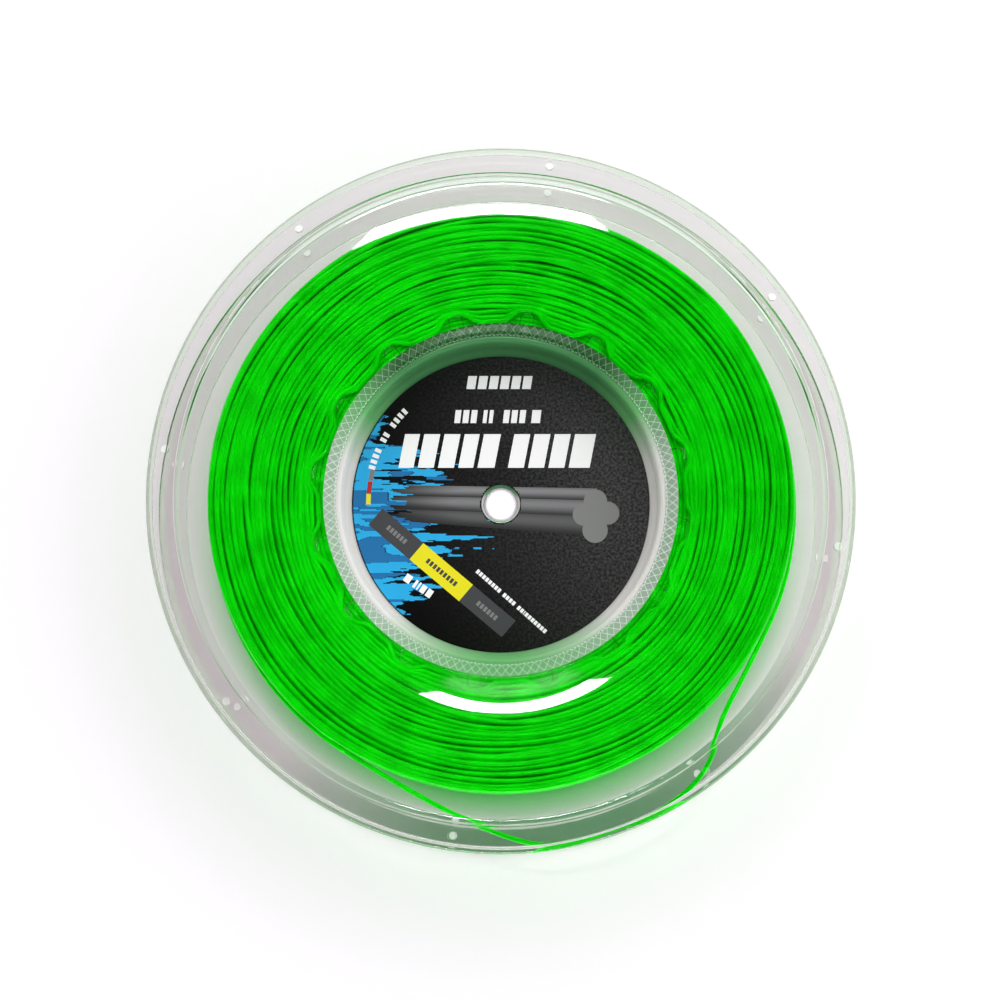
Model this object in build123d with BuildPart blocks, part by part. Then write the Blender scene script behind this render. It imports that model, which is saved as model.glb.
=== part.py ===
"""Tennis string reel: a clear, plugged-together plastic reel with a recessed hub, a package of wound
green monofilament string between its flanges and one slack turn of the string lying in the groove.

Millimetres, +Z up. The reel lies on its rear flange: +Z is the reel's axis and z = 0 is the plane the rear
flange's rim band rests on. Every piece is its own solid.
"""

import math
import os

from build123d import *

os.makedirs("parts", exist_ok=True)

# ---------------------------------------------------------------- driving dimensions
WIDTH = 32.0  # over both flanges
MID = WIDTH / 2

# flanges
OUTER_R = 86.0  # edge of the rim bead
BAND_R = 84.5  # where the flat rim band turns over into the bead
STEP_TOP_R = 79.4  # top and foot of the step between the disc and the rim band
STEP_FOOT_R = 78.9
WALL = 1.6  # disc wall
BAND_T = 1.7  # rim band wall
BEAD_T = 3.2  # depth of the rim bead
CROWN_Z = 0.45  # depth of the disc's crest below the rim band
CREST_R = 68.5  # where the crowned disc stands proudest
CROWN_RADIUS = 160.0  # of the disc's crowned section
HUB_R = 43.2  # hub shoulder and barrel, outside
MOUTH_R = 40.2  # hub opening, at the foot of the knurled bevel
MOUTH_Z = 4.1
COLLAR_R = 41.5  # spigot that plugs into the barrel
COLLAR_Z = 8.4
SHOULDER_Z = 4.6  # face that the barrel's end stands on

HOLE_COUNT = 8  # string parking holes in the rim band
HOLE_PCD = 164.7
HOLE_R = 1.0
HOLE_ANGLE = 36.7

LUG_COUNT = 16  # lugs round the hub shoulder, on the inner face
LUG_ANGLE = 36.7
LUG_IN_R = 42.9
LUG_OUT_R = 46.4
LUG_W = 3.4
LUG_Z = 6.0

# hub barrel
BARREL_IN_R = 41.55

# hub caps: cups pressed into the collars, back to back at the middle of the reel
CAP_R = 40.15
CAP_STOP_R = 39.3
CAP_STOP_Z = 7.6
CAP_MOUTH_R = 39.0
CAP_WALL_R = 38.5
FLOOR_Z = 14.15
CAP_FILLET = 1.7
BORE_R = 4.35

# labels
LABEL_R = 36.7
LABEL_HOLE_R = 4.75
LABEL_T = 0.15

# string
STRING_D = 1.2
WIND_IN_R = 43.25
WIND_STEP_R = 46.5
WIND_OUT_R = 71.2
WIND_GAP = 0.15


def crown(r, offset=0.0):
    """Height of the disc's crowned outer face at radius r, or of the same curve raised by offset."""
    return CROWN_Z + offset + CROWN_RADIUS - math.sqrt(CROWN_RADIUS**2 - (r - CREST_R) ** 2)


HUB_Z = crown(HUB_R)  # height of the disc's outer face at the hub's edge
FOOT_Z = crown(STEP_FOOT_R)  # and at the foot of the step to the rim band


def solid_flange():
    """The rear flange: revolved wall, lugs and rim holes."""
    with BuildPart() as flange:
        with BuildSketch(Plane.XZ) as section:
            with BuildLine():
                a = Polyline((MOUTH_R, MOUTH_Z), (HUB_R, HUB_Z))
                b = ThreePointArc(a @ 1, (60.0, crown(60.0)), (STEP_FOOT_R, FOOT_Z))
                c = Polyline(b @ 1, (STEP_TOP_R, 0), (BAND_R, 0))
                d = ThreePointArc(
                    c @ 1,
                    (BAND_R + 1.5 * math.sin(math.radians(45)), 1.5 - 1.5 * math.cos(math.radians(45))),
                    (OUTER_R, 1.5),
                )
                e = Polyline(d @ 1, (OUTER_R, BEAD_T - 0.5))
                f = ThreePointArc(
                    e @ 1,
                    (OUTER_R - 0.5 + 0.5 * math.cos(math.radians(45)), BEAD_T - 0.5 + 0.5 * math.sin(math.radians(45))),
                    (OUTER_R - 0.5, BEAD_T),
                )
                g = Polyline(
                    f @ 1,
                    (BAND_R + 0.1, BEAD_T),
                    (BAND_R - 0.3, BAND_T),
                    (STEP_TOP_R + 0.9, BAND_T),
                    (STEP_FOOT_R + 0.1, crown(STEP_FOOT_R + 0.1, WALL)),
                )
                h = ThreePointArc(g @ 1, (60.0, crown(60.0, WALL)), (HUB_R, crown(HUB_R, WALL)))
                Polyline(
                    h @ 1,
                    (HUB_R, SHOULDER_Z),
                    (COLLAR_R, SHOULDER_Z),
                    (COLLAR_R, COLLAR_Z - 0.3),
                    (COLLAR_R - 0.3, COLLAR_Z),
                    (CAP_STOP_R, COLLAR_Z),
                    (CAP_STOP_R, CAP_STOP_Z),
                    (MOUTH_R, CAP_STOP_Z),
                    (MOUTH_R, MOUTH_Z),
                )
            make_face()
        revolve(axis=Axis.Z, revolution_arc=360)
        # lugs
        with BuildSketch(Plane.XY.offset(HUB_Z + 0.9)):
            with PolarLocations((LUG_IN_R + LUG_OUT_R) / 2, LUG_COUNT, start_angle=LUG_ANGLE):
                RectangleRounded(LUG_OUT_R - LUG_IN_R, LUG_W, 1.2)
        extrude(amount=LUG_Z - HUB_Z - 0.9)
        # rim holes
        with BuildSketch(Plane.XY.offset(-1)):
            with PolarLocations(HOLE_PCD / 2, HOLE_COUNT, start_angle=HOLE_ANGLE):
                Circle(HOLE_R)
        extrude(amount=5, mode=Mode.SUBTRACT)
        # above the shoulder the lugs stop at the barrel's face
        with BuildSketch(Plane.XY.offset(SHOULDER_Z)):
            Circle(HUB_R)
            Circle(COLLAR_R, mode=Mode.SUBTRACT)
        extrude(amount=3, mode=Mode.SUBTRACT)
    return flange.part


def flipped(part):
    """The same piece turned over onto the front side, with its angles kept."""
    return mirror(part, about=Plane.XY.offset(MID))


# ---------------------------------------------------------------- flanges
rear_flange = solid_flange()
rear_flange.label = "rear_flange"
export_step(rear_flange, "parts/rear_flange.step")

front_flange = flipped(rear_flange)
front_flange.label = "front_flange"
export_step(front_flange, "parts/front_flange.step")

# ---------------------------------------------------------------- barrel
with BuildPart() as hub_barrel:
    with BuildSketch(Plane.XY.offset(SHOULDER_Z)):
        Circle(HUB_R)
        Circle(BARREL_IN_R, mode=Mode.SUBTRACT)
    extrude(amount=WIDTH - 2 * SHOULDER_Z)
hub_barrel.part.label = "hub_barrel"
export_step(hub_barrel.part, "parts/hub_barrel.step")

# ---------------------------------------------------------------- hub caps
with BuildPart() as rear_hub_cap:
    with BuildSketch(Plane.XZ):
        with BuildLine():
            k = math.sin(math.radians(45))
            a = Polyline(
                (BORE_R, FLOOR_Z),
                (CAP_WALL_R - CAP_FILLET, FLOOR_Z),
            )
            b = ThreePointArc(
                a @ 1,
                (CAP_WALL_R - CAP_FILLET + CAP_FILLET * k, FLOOR_Z - CAP_FILLET + CAP_FILLET * k),
                (CAP_WALL_R, FLOOR_Z - CAP_FILLET),
            )
            Polyline(
                b @ 1,
                (CAP_MOUTH_R, MOUTH_Z + 0.5),
                (CAP_MOUTH_R + 0.35, MOUTH_Z + 0.1),
                (CAP_R, MOUTH_Z + 0.1),
                (CAP_R, CAP_STOP_Z),
                (CAP_STOP_R - 0.05 + 0.6, CAP_STOP_Z),
                (CAP_STOP_R - 0.05, CAP_STOP_Z),
                (CAP_STOP_R - 0.05, MID - 1.6),
                (CAP_STOP_R - 1.65, MID),
                (BORE_R, MID),
                (BORE_R, FLOOR_Z),
            )
        make_face()
    revolve(axis=Axis.Z, revolution_arc=360)
rear_hub_cap.part.label = "rear_hub_cap"
export_step(rear_hub_cap.part, "parts/rear_hub_cap.step")

front_hub_cap = flipped(rear_hub_cap.part)
front_hub_cap.label = "front_hub_cap"
export_step(front_hub_cap, "parts/front_hub_cap.step")

# ---------------------------------------------------------------- labels
with BuildPart() as rear_label:
    with BuildSketch(Plane.XY.offset(FLOOR_Z - LABEL_T)):
        Circle(LABEL_R)
        Circle(LABEL_HOLE_R, mode=Mode.SUBTRACT)
    extrude(amount=LABEL_T)
rear_label.part.label = "rear_label"
export_step(rear_label.part, "parts/rear_label.step")

with BuildPart() as front_label:
    with BuildSketch(Plane.XY.offset(WIDTH - FLOOR_Z)):
        Circle(LABEL_R)
        Circle(LABEL_HOLE_R, mode=Mode.SUBTRACT)
    extrude(amount=LABEL_T)
front_label.part.label = "front_label"
export_step(front_label.part, "parts/front_label.step")

# ---------------------------------------------------------------- wound string
def face_z(r):
    """Height of the rear end face of the package at radius r, clear of the flange."""
    return crown(r, WALL + WIND_GAP)


with BuildPart() as string_winding:
    with BuildSketch(Plane.XZ):
        with BuildLine():
            zs, zo = face_z(WIND_STEP_R), face_z(WIND_OUT_R)
            zm = face_z((WIND_STEP_R + WIND_OUT_R) / 2)
            rm = (WIND_STEP_R + WIND_OUT_R) / 2
            a = Polyline((WIND_IN_R, MID), (WIND_IN_R, LUG_Z + WIND_GAP), (WIND_STEP_R, LUG_Z + WIND_GAP), (WIND_STEP_R, zs))
            b = ThreePointArc(a @ 1, (rm, zm), (WIND_OUT_R, zo))
            c = Polyline(b @ 1, (WIND_OUT_R, WIDTH - zo))
            d = ThreePointArc(c @ 1, (rm, WIDTH - zm), (WIND_STEP_R, WIDTH - zs))
            Polyline(
                d @ 1,
                (WIND_STEP_R, WIDTH - LUG_Z - WIND_GAP),
                (WIND_IN_R, WIDTH - LUG_Z - WIND_GAP),
                (WIND_IN_R, MID),
            )
        make_face()
    revolve(axis=Axis.Z, revolution_arc=360)
string_winding.part.label = "string_winding"
export_step(string_winding.part, "parts/string_winding.step")

# ---------------------------------------------------------------- slack turn
# One turn of the string has slipped off the package. It leaves the package along a tangent, lies against the
# inside of the rim and comes back onto the package along another tangent.
ROUTE = [
    (-37.76, -61.13, 24.6),
    (0.0, -85.0, 25.8),
    (26.0, -82.4, 26.2),
    (43.5, -72.8, 26.2),
    (51.3, -63.5, 26.0),
    (52.6, -54.5, 25.6),
    (60.0, -41.0, 25.0),
    (65.66, -29.23, 24.4),
]


def corner_radii(points):
    """The largest bend that leaves each corner a little less than half of its shorter run."""
    radii = []
    for p, q, s in zip(points, points[1:], points[2:]):
        u, v = Vector(*q) - Vector(*p), Vector(*s) - Vector(*q)
        half = math.radians(u.get_angle(v)) / 2
        radii.append(0.45 * min(u.length, v.length) / math.tan(half))
    return radii


RADII = corner_radii(ROUTE)

with BuildPart() as string_tail:
    with BuildLine() as route:
        FilletPolyline(*ROUTE, radius=RADII)
    start = route.line
    with BuildSketch(Plane(origin=start @ 0, z_dir=start % 0)):
        Circle(STRING_D / 2)
    sweep(path=route.line)
string_tail.part.label = "string_tail"
export_step(string_tail.part, "parts/string_tail.step")

print("bend radii, mm:", [round(r, 1) for r in RADII])
length = sum(e.length for e in route.line.edges())
print("slack turn length, mm:", round(length, 2))
print("tube volume / (section x length):", round(string_tail.part.volume / (math.pi * STRING_D**2 / 4 * length), 4))
for name, solid in (
    ("rear_flange", rear_flange),
    ("front_flange", front_flange),
    ("hub_barrel", hub_barrel.part),
    ("rear_hub_cap", rear_hub_cap.part),
    ("front_hub_cap", front_hub_cap),
    ("rear_label", rear_label.part),
    ("front_label", front_label.part),
    ("string_winding", string_winding.part),
    ("string_tail", string_tail.part),
):
    print(name, "solids", len(solid.solids()), "volume", round(solid.volume, 1), "valid", solid.is_valid)
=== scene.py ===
import math
import random

import bmesh
import bpy
import numpy as np
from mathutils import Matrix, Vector


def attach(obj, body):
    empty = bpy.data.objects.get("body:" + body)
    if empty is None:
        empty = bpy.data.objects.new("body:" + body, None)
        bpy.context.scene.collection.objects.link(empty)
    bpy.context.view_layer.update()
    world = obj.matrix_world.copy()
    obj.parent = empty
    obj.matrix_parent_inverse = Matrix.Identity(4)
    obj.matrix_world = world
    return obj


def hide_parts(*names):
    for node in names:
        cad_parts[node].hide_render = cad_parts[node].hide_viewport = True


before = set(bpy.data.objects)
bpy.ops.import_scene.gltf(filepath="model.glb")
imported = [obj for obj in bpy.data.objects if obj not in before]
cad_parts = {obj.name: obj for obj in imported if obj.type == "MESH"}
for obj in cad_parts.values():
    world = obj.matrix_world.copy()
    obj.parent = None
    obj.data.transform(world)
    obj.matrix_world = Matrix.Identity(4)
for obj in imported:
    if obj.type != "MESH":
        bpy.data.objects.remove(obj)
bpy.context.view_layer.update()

# ---------------------------------------------------------------- sizes, mm, as in the part's source
MM = 0.001
W = 32.0
OUTER_R, BAND_R, STEP_TOP_R, STEP_FOOT_R = 86.0, 84.5, 79.4, 78.9
WALL, BAND_T, BEAD_T = 1.6, 1.7, 3.2
CROWN_Z, CREST_R, CROWN_RADIUS, HUB_R = 0.45, 68.5, 160.0, 43.2
MOUTH_R, MOUTH_Z = 40.2, 4.1
COLLAR_R, COLLAR_Z, SHOULDER_Z = 41.5, 8.4, 4.6
HOLE_COUNT, HOLE_PCD, HOLE_R, HOLE_ANGLE = 8, 164.7, 1.0, 36.7
LUG_COUNT, LUG_ANGLE, LUG_IN_R, LUG_OUT_R, LUG_W, LUG_Z = 16, 36.7, 42.9, 46.4, 3.4, 6.0
BARREL_IN_R = 41.55
CAP_R, CAP_STOP_R, CAP_STOP_Z, CAP_MOUTH_R, CAP_WALL_R = 40.15, 39.3, 7.6, 39.0, 38.5
FLOOR_Z, CAP_FILLET, BORE_R, MID = 14.15, 1.7, 4.35, 16.0
LABEL_R, LABEL_HOLE_R, LABEL_T = 36.7, 4.75, 0.15
STRING_R = 0.6
WIND_IN_R, WIND_OUT_R, WIND_GAP = 43.25, 71.2, 0.15
SEG = 384  # steps round a turned piece

rng = np.random.default_rng(7)


# ---------------------------------------------------------------- materials
def new_material(name):
    m = bpy.data.materials.new(name)
    m.use_nodes = True
    nt = m.node_tree
    nt.nodes.clear()
    out = nt.nodes.new("ShaderNodeOutputMaterial")
    return m, nt, out


def clear_plastic(name, colour, rough, ior=1.49, shade=(1, 1, 1)):
    """Moulded clear plastic. Lamps reach what is behind it."""
    m, nt, out = new_material(name)
    glass = nt.nodes.new("ShaderNodeBsdfPrincipled")
    glass.inputs["Base Color"].default_value = (*colour, 1)
    glass.inputs["Roughness"].default_value = rough
    glass.inputs["IOR"].default_value = ior
    glass.inputs["Transmission Weight"].default_value = 1.0
    through = nt.nodes.new("ShaderNodeBsdfTransparent")
    through.inputs["Color"].default_value = (*shade, 1)
    path = nt.nodes.new("ShaderNodeLightPath")
    mix = nt.nodes.new("ShaderNodeMixShader")
    nt.links.new(path.outputs["Is Shadow Ray"], mix.inputs[0])
    nt.links.new(glass.outputs[0], mix.inputs[1])
    nt.links.new(through.outputs[0], mix.inputs[2])
    nt.links.new(mix.outputs[0], out.inputs["Surface"])
    return m


def paint_string_glow_and_shade(m, tint, r_from, r_to, lean, lo, hi, least):
    """Paints the string's green glow and the reel's shade into clear plastic as a tint of its colour.

    The tint grows from one radius to another and towards one side of the reel.
    """
    nt = m.node_tree
    glass = next(n for n in nt.nodes if n.type == "BSDF_PRINCIPLED")
    co = nt.nodes.new("ShaderNodeTexCoord")
    flat = nt.nodes.new("ShaderNodeVectorMath")
    flat.operation = "MULTIPLY"
    flat.inputs[1].default_value = (1.0, 1.0, 0.0)
    reach = nt.nodes.new("ShaderNodeVectorMath")
    reach.operation = "LENGTH"
    near = nt.nodes.new("ShaderNodeMapRange")
    near.inputs["From Min"].default_value = r_from
    near.inputs["From Max"].default_value = r_to
    unit = nt.nodes.new("ShaderNodeVectorMath")
    unit.operation = "NORMALIZE"
    dot = nt.nodes.new("ShaderNodeVectorMath")
    dot.operation = "DOT_PRODUCT"
    dot.inputs[1].default_value = lean
    way = nt.nodes.new("ShaderNodeMapRange")
    way.inputs["From Min"].default_value = lo
    way.inputs["From Max"].default_value = hi
    way.inputs["To Min"].default_value = least
    both = nt.nodes.new("ShaderNodeMath")
    both.operation = "MULTIPLY"
    mix = nt.nodes.new("ShaderNodeMix")
    mix.data_type = "RGBA"
    mix.inputs[6].default_value = glass.inputs["Base Color"].default_value[:]
    mix.inputs[7].default_value = (*tint, 1)
    nt.links.new(co.outputs["Object"], flat.inputs[0])
    nt.links.new(flat.outputs[0], reach.inputs[0])
    nt.links.new(reach.outputs["Value"], near.inputs["Value"])
    nt.links.new(flat.outputs[0], unit.inputs[0])
    nt.links.new(unit.outputs[0], dot.inputs[0])
    nt.links.new(dot.outputs["Value"], way.inputs["Value"])
    nt.links.new(near.outputs[0], both.inputs[0])
    nt.links.new(way.outputs[0], both.inputs[1])
    nt.links.new(both.outputs[0], mix.inputs[0])
    nt.links.new(mix.outputs[2], glass.inputs["Base Color"])


def plain(name, colour, rough=0.5, specular=0.5, **more):
    m, nt, out = new_material(name)
    b = nt.nodes.new("ShaderNodeBsdfPrincipled")
    b.inputs["Base Color"].default_value = (*colour, 1)
    b.inputs["Roughness"].default_value = rough
    b.inputs["Specular IOR Level"].default_value = specular
    for k, v in more.items():
        b.inputs[k].default_value = v
    nt.links.new(b.outputs[0], out.inputs["Surface"])
    return m


def milky_painted_light_and_shade(name, colour, rough, amount, painted_tones, shade):
    """Clear plastic with some of the light scattered at its surface.

    The scattered tone is painted light and shade round the axis: a dark green painted shade on the +Y side, a mid
    green on the -Y side and a pale painted light on the ±X sides.
    """
    m = clear_plastic(name, colour, rough, shade=shade)
    nt = m.node_tree
    co = nt.nodes.new("ShaderNodeTexCoord")
    flat = nt.nodes.new("ShaderNodeVectorMath")
    flat.operation = "MULTIPLY"
    flat.inputs[1].default_value = (1.0, 1.0, 0.0)
    unit = nt.nodes.new("ShaderNodeVectorMath")
    unit.operation = "NORMALIZE"
    xy = nt.nodes.new("ShaderNodeSeparateXYZ")
    square = nt.nodes.new("ShaderNodeMath")
    square.operation = "POWER"
    square.inputs[1].default_value = 2.0
    size = nt.nodes.new("ShaderNodeMath")
    size.operation = "ABSOLUTE"
    tilt = nt.nodes.new("ShaderNodeMath")
    # painted light and shade by direction round the axis: dark towards +Y, pale towards ±X
    tilt.operation = "MULTIPLY_ADD"
    tilt.inputs[1].default_value = -0.45
    ramp = nt.nodes.new("ShaderNodeValToRGB")
    ramp.color_ramp.elements[0].position = 0.0
    ramp.color_ramp.elements[0].color = (*painted_tones[0], 1)
    ramp.color_ramp.elements[1].position = 0.82
    ramp.color_ramp.elements[1].color = (*painted_tones[2], 1)
    mid = ramp.color_ramp.elements.new(0.45)
    mid.color = (*painted_tones[1], 1)
    nt.links.new(co.outputs["Object"], flat.inputs[0])
    nt.links.new(flat.outputs[0], unit.inputs[0])
    nt.links.new(unit.outputs[0], xy.inputs[0])
    nt.links.new(xy.outputs[0], size.inputs[0])
    nt.links.new(size.outputs[0], square.inputs[0])
    nt.links.new(xy.outputs[1], tilt.inputs[0])
    nt.links.new(square.outputs[0], tilt.inputs[2])
    nt.links.new(tilt.outputs[0], ramp.inputs[0])
    mix = next(n for n in nt.nodes if n.type == "MIX_SHADER")
    glass = next(n for n in nt.nodes if n.type == "BSDF_PRINCIPLED")
    dif = nt.nodes.new("ShaderNodeBsdfDiffuse")
    nt.links.new(ramp.outputs[0], dif.inputs["Color"])
    lit = nt.nodes.new("ShaderNodeBsdfTranslucent")
    nt.links.new(ramp.outputs[0], lit.inputs["Color"])
    both = nt.nodes.new("ShaderNodeMixShader")
    both.inputs[0].default_value = 0.35
    add = nt.nodes.new("ShaderNodeMixShader")
    add.inputs[0].default_value = amount
    nt.links.new(dif.outputs[0], both.inputs[1])
    nt.links.new(lit.outputs[0], both.inputs[2])
    nt.links.new(glass.outputs[0], add.inputs[1])
    nt.links.new(both.outputs[0], add.inputs[2])
    nt.links.new(add.outputs[0], mix.inputs[1])
    return m


CLEAR = clear_plastic("clear_disc", (0.885, 0.925, 0.885), 0.02, shade=(0.88, 0.89, 0.88))
BAND = clear_plastic("clear_band", (0.79, 0.745, 0.77), 0.08, ior=1.08, shade=(0.88, 0.87, 0.87))
BAND_REAR = clear_plastic("clear_band_rear", (0.80, 0.755, 0.78), 0.08, ior=1.08, shade=(0.88, 0.87, 0.87))
# painted shade: the rear disc is a darker, pinker copy of the clear plastic, for the shaded table seen through it
REAR = clear_plastic("clear_disc_rear_painted_shade", (0.86, 0.80, 0.84), 0.06, ior=1.05, shade=(0.84, 0.83, 0.84))
# painted reflection: the step and bead edges are tinted green-grey for the string's green reflected in them
EDGE = clear_plastic("clear_edge_painted_reflection", (0.75, 0.79, 0.73), 0.08, ior=1.25, shade=(0.88, 0.89, 0.88))
# painted light and shade: the rear disc is tinted greener near the string and on the -Y side, the rear band darker
# green on the -Y side
paint_string_glow_and_shade(REAR, (0.23, 0.72, 0.26), 0.0785, 0.0715, (0.0, -1.0, 0.0), 0.0, 1.0, 0.28)
paint_string_glow_and_shade(BAND_REAR, (0.27, 0.47, 0.30), 0.0, 0.001, (0.2, -1.0, 0.0), 0.6, 1.0, 0.0)
LUGS = clear_plastic("clear_lugs", (0.97, 0.99, 0.97), 0.05, ior=1.16, shade=(0.96, 0.97, 0.96))
# the cup's and bevel's scattered tones are painted light and shade round the axis
CUP = milky_painted_light_and_shade("clear_cup", (0.86, 0.94, 0.86), 0.08, 0.88, ((0.12, 0.40, 0.155), (0.24, 0.66, 0.26), (1.0, 0.97, 0.96)), (0.92, 0.93, 0.92))
BEVEL = milky_painted_light_and_shade("clear_bevel", (0.60, 0.80, 0.62), 0.20, 0.85, ((0.02, 0.13, 0.025), (0.20, 0.58, 0.22), (0.50, 0.68, 0.52)), (0.90, 0.92, 0.90))
TUBE = clear_plastic("clear_tube", (0.90, 0.94, 0.90), 0.15, shade=(0.92, 0.94, 0.92))
# the knurl's ribs carry the same painted light and shade round the axis
KNURL = milky_painted_light_and_shade("knurl_plastic", (0.90, 0.94, 0.90), 0.10, 0.85, ((0.30, 0.52, 0.32), (0.70, 0.92, 0.72), (1.0, 1.0, 1.0)), (0.92, 0.93, 0.92))


def string_material(name, colour, dark):
    """Glossy green monofilament, a little uneven in tone along its length."""
    m, nt, out = new_material(name)
    b = nt.nodes.new("ShaderNodeBsdfPrincipled")
    b.inputs["Roughness"].default_value = 0.2
    b.inputs["Specular IOR Level"].default_value = 0.9
    b.inputs["Specular Tint"].default_value = (0.045, 1.0, 0.04, 1)
    co = nt.nodes.new("ShaderNodeTexCoord")
    noise = nt.nodes.new("ShaderNodeTexNoise")
    noise.inputs["Scale"].default_value = 160.0
    noise.inputs["Detail"].default_value = 2.0
    ramp = nt.nodes.new("ShaderNodeMapRange")
    ramp.inputs["From Min"].default_value = 0.35
    ramp.inputs["From Max"].default_value = 0.65
    mix = nt.nodes.new("ShaderNodeMix")
    mix.data_type = "RGBA"
    mix.inputs[6].default_value = (*dark, 1)
    mix.inputs[7].default_value = (*colour, 1)
    nt.links.new(co.outputs["Object"], noise.inputs["Vector"])
    nt.links.new(noise.outputs["Fac"], ramp.inputs["Value"])
    nt.links.new(ramp.outputs[0], mix.inputs[0])
    flat = nt.nodes.new("ShaderNodeVectorMath")
    flat.operation = "MULTIPLY"
    flat.inputs[1].default_value = (1.0, 1.0, 0.0)
    reach = nt.nodes.new("ShaderNodeVectorMath")
    reach.operation = "LENGTH"
    # painted light: the string's colour is lifted close to the hub, where the lugs and bevel shade it
    near = nt.nodes.new("ShaderNodeMapRange")  # a little brighter close to the hub
    near.interpolation_type = "SMOOTHSTEP"
    near.inputs["From Min"].default_value = 0.0455
    near.inputs["From Max"].default_value = 0.0530
    near.inputs["To Min"].default_value = 1.10
    near.inputs["To Max"].default_value = 1.0
    lift = nt.nodes.new("ShaderNodeVectorMath")
    lift.operation = "SCALE"
    nt.links.new(co.outputs["Object"], flat.inputs[0])
    nt.links.new(flat.outputs[0], reach.inputs[0])
    nt.links.new(reach.outputs["Value"], near.inputs["Value"])
    nt.links.new(mix.outputs[2], lift.inputs[0])
    nt.links.new(near.outputs[0], lift.inputs["Scale"])
    nt.links.new(lift.outputs[0], b.inputs["Base Color"])
    nt.links.new(b.outputs[0], out.inputs["Surface"])
    return m


GREEN = string_material("string_green", (0.0010, 0.90, 0.0010), (0.0005, 0.70, 0.0005))
# painted light: the loose turn uses a slightly lighter, more even copy of the string's green
LOOSE = string_material("string_loose_painted_light", (0.003, 0.86, 0.003), (0.003, 0.80, 0.003))
# painted shade: a darker copy of the string's green for the shade between the inner turns
CORE = plain("string_core_painted_shade", (0.0, 0.42, 0.001), 0.6, 0.0)


def label_black(name):
    """Printed film with a fine leather-like grain."""
    m, nt, out = new_material(name)
    b = nt.nodes.new("ShaderNodeBsdfPrincipled")
    b.inputs["Roughness"].default_value = 0.5
    b.inputs["Specular IOR Level"].default_value = 0.12
    co = nt.nodes.new("ShaderNodeTexCoord")
    vor = nt.nodes.new("ShaderNodeTexNoise")
    vor.inputs["Scale"].default_value = 1500.0
    vor.inputs["Detail"].default_value = 2.0
    vor.inputs["Roughness"].default_value = 0.6
    grain = nt.nodes.new("ShaderNodeMapRange")
    grain.inputs["From Min"].default_value = 0.38
    grain.inputs["From Max"].default_value = 0.66
    sep = nt.nodes.new("ShaderNodeSeparateXYZ")
    slope = nt.nodes.new("ShaderNodeMath")
    slope.operation = "MULTIPLY_ADD"
    slope.inputs[1].default_value = 1.0 / 0.032
    add = nt.nodes.new("ShaderNodeMath")
    add.operation = "ADD"
    half = nt.nodes.new("ShaderNodeMath")
    half.operation = "MULTIPLY"
    half.inputs[1].default_value = 0.25
    tone = nt.nodes.new("ShaderNodeMapRange")
    tone.inputs["From Min"].default_value = -1.15
    tone.inputs["From Max"].default_value = 1.05
    tone.inputs["To Min"].default_value = 0.0
    tone.inputs["To Max"].default_value = 0.245
    square = nt.nodes.new("ShaderNodeMath")
    square.operation = "POWER"
    square.inputs[1].default_value = 2.0
    mul = nt.nodes.new("ShaderNodeMath")
    mul.operation = "MULTIPLY"
    var = nt.nodes.new("ShaderNodeMapRange")
    var.inputs["To Min"].default_value = 0.45
    var.inputs["To Max"].default_value = 1.75
    comb = nt.nodes.new("ShaderNodeCombineColor")
    nt.links.new(co.outputs["Object"], vor.inputs["Vector"])
    nt.links.new(vor.outputs["Fac"], grain.inputs["Value"])
    nt.links.new(co.outputs["Object"], sep.inputs[0])
    nt.links.new(sep.outputs[1], half.inputs[0])
    nt.links.new(sep.outputs[0], add.inputs[0])
    nt.links.new(half.outputs[0], add.inputs[1])
    nt.links.new(add.outputs[0], slope.inputs[0])
    slope.inputs[2].default_value = 0.0
    nt.links.new(slope.outputs[0], tone.inputs["Value"])
    nt.links.new(grain.outputs[0], var.inputs["Value"])
    nt.links.new(tone.outputs[0], square.inputs[0])
    nt.links.new(square.outputs[0], mul.inputs[0])
    nt.links.new(var.outputs[0], mul.inputs[1])
    for i in range(3):
        nt.links.new(mul.outputs[0], comb.inputs[i])
    bump = nt.nodes.new("ShaderNodeBump")
    bump.inputs["Strength"].default_value = 0.25
    bump.inputs["Distance"].default_value = 0.0001
    nt.links.new(vor.outputs["Fac"], bump.inputs["Height"])
    nt.links.new(bump.outputs[0], b.inputs["Normal"])
    nt.links.new(comb.outputs[0], b.inputs["Base Color"])
    nt.links.new(b.outputs[0], out.inputs["Surface"])
    return m


PRINT_BLACK = label_black("label_black")
# painted light: the white print glows a little, though it is no lamp
PRINT_WHITE_GLOW = plain("print_white_painted_glow", (0.96, 0.96, 0.96), 0.45, 0.3, **{"Emission Color": (1, 1, 1, 1), "Emission Strength": 0.16})
PRINT_CYAN = plain("print_cyan", (0.020, 0.50, 0.95), 0.45, 0.3)
PRINT_BLUE = plain("print_blue", (0.010, 0.19, 0.48), 0.45, 0.3)
PRINT_YELLOW = plain("print_yellow", (0.98, 0.88, 0.010), 0.45, 0.3)
PRINT_RED = plain("print_red", (0.55, 0.02, 0.02), 0.45, 0.3)
PRINT_GREY = plain("print_grey", (0.060, 0.062, 0.066), 0.45, 0.3)


def tinted_print(name):
    """Print whose tone is stored on the mesh."""
    m, nt, out = new_material(name)
    b = nt.nodes.new("ShaderNodeBsdfPrincipled")
    b.inputs["Roughness"].default_value = 0.45
    b.inputs["Specular IOR Level"].default_value = 0.3
    a = nt.nodes.new("ShaderNodeAttribute")
    a.attribute_name = "tone"
    nt.links.new(a.outputs["Color"], b.inputs["Base Color"])
    nt.links.new(b.outputs[0], out.inputs["Surface"])
    return m


PRINT_TONE = tinted_print("print_tone")


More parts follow.
